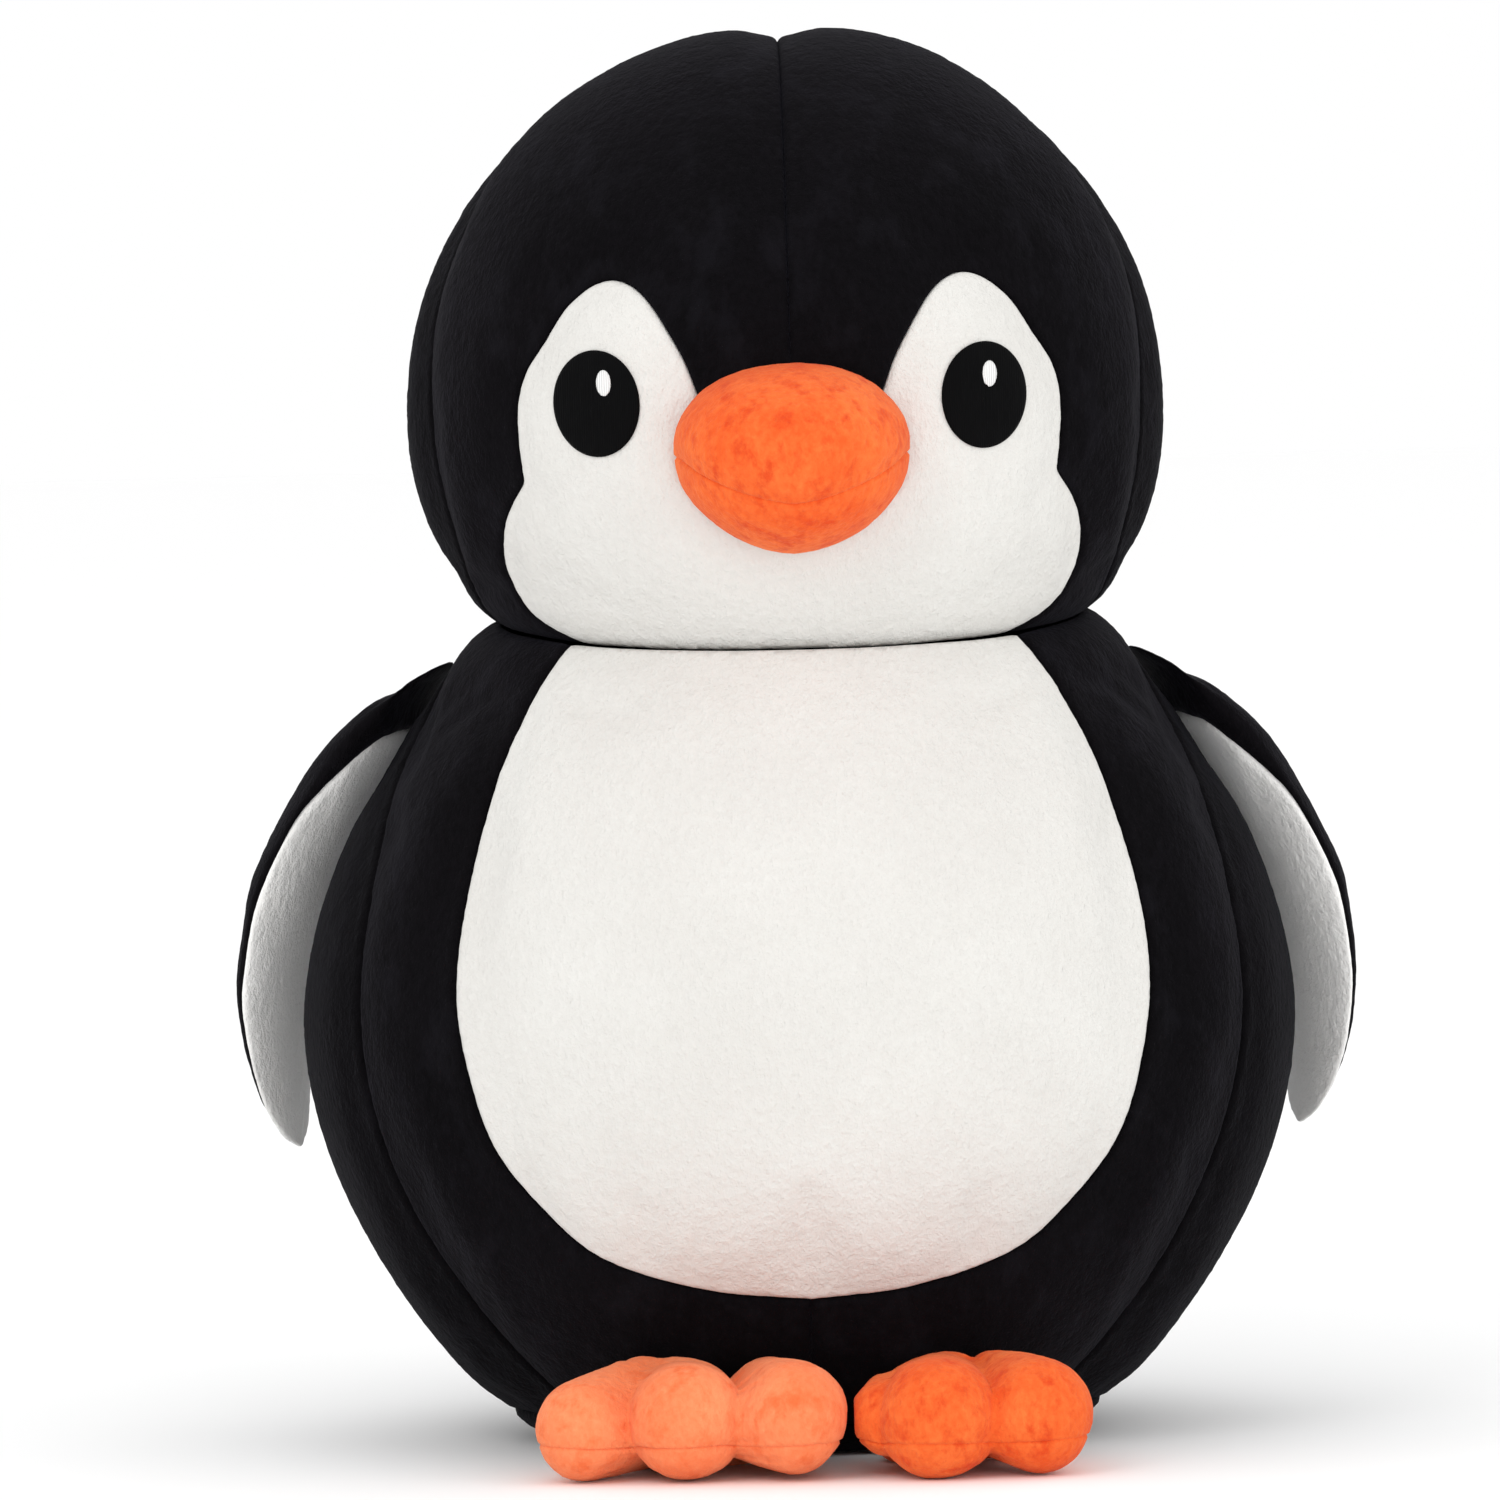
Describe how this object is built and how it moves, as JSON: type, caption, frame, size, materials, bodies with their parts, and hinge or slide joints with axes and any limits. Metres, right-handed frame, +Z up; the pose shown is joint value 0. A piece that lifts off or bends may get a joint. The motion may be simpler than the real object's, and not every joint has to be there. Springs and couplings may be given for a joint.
{
  "type": "plush penguin",
  "caption": "Stuffed plush penguin that stands on a flat base, with hanging wings, a puffy beak and toed feet; head, wings and feet move.",
  "frame": {"origin": "middle of the flat base, on the floor", "axes": "+Z up, the penguin faces -Y, +X is its own left side"},
  "size_m": [0.282, 0.2365, 0.35],
  "materials": {
    "black_plush": "short brushed pile",
    "white_plush": "short brushed pile",
    "orange_plush": "short brushed pile",
    "peach_plush": "short brushed pile",
    "fibrefill": "loose polyester fibre",
    "pellets": "plastic pellets in a cloth bag",
    "label_tape": "smooth woven tape, blank",
    "black_thread": "satin stitch",
    "white_thread": "satin stitch"
  },
  "bodies": {
    "torso": {"belly_panel": "white_plush", "torso_front_left": "black_plush", "torso_front_right": "black_plush", "torso_back_left": "black_plush", "torso_back_right": "black_plush", "base_panel": "black_plush", "torso_stuffing": "fibrefill", "pellet_bag": "pellets", "care_label": "label_tape"},
    "neck": {"neck_seam": "black_plush"},
    "head": {"face_mask": "white_plush", "head_front_left": "black_plush", "head_front_right": "black_plush", "head_back_left": "black_plush", "head_back_right": "black_plush", "head_stuffing": "fibrefill", "beak_upper": "orange_plush", "beak_lower": "orange_plush", "beak_stuffing": "fibrefill", "eye_left": "black_thread", "eye_right": "black_thread", "eye_highlight_left": "white_thread", "eye_highlight_right": "white_thread"},
    "wing_left": {"wing_left_outer": "black_plush", "wing_left_inner": "white_plush", "wing_left_stuffing": "fibrefill"},
    "wing_right": {"wing_right_outer": "black_plush", "wing_right_inner": "white_plush", "wing_right_stuffing": "fibrefill"},
    "foot_left": {"foot_left_top": "orange_plush", "foot_left_sole": "orange_plush", "foot_left_stuffing": "fibrefill"},
    "foot_right": {"foot_right_top": "peach_plush", "foot_right_sole": "peach_plush", "foot_right_stuffing": "fibrefill"}
  },
  "joints": [
    {"name": "neck_turn", "type": "hinge", "parent": "torso", "child": "neck", "pos_m": [0, 0, 0.252], "axis": [0, 0, 1], "range_deg": [-12, 12], "stiffness_Nm_per_rad": 0.8},
    {"name": "neck_nod", "type": "hinge", "parent": "neck", "child": "head", "pos_m": [0, 0, 0.252], "axis": [1, 0, 0], "range_deg": [-8, 8], "stiffness_Nm_per_rad": 1.2},
    {"name": "wing_left_raise", "type": "hinge", "parent": "torso", "child": "wing_left", "pos_m": [0.09402, 0.025, 0.183], "axis": [0.3344, -0.9424, 0], "range_deg": [0, 100]},
    {"name": "wing_right_raise", "type": "hinge", "parent": "torso", "child": "wing_right", "pos_m": [-0.09402, 0.025, 0.183], "axis": [0.3344, 0.9424, 0], "range_deg": [0, 100]},
    {"name": "foot_left_fold", "type": "hinge", "parent": "torso", "child": "foot_left", "pos_m": [0.0395, -0.07328, 0.006], "axis": [1, 0, 0], "range_deg": [-18, 25]},
    {"name": "foot_right_fold", "type": "hinge", "parent": "torso", "child": "foot_right", "pos_m": [-0.0295, -0.07328, 0.006], "axis": [1, 0, 0], "range_deg": [-18, 25]}
  ]
}
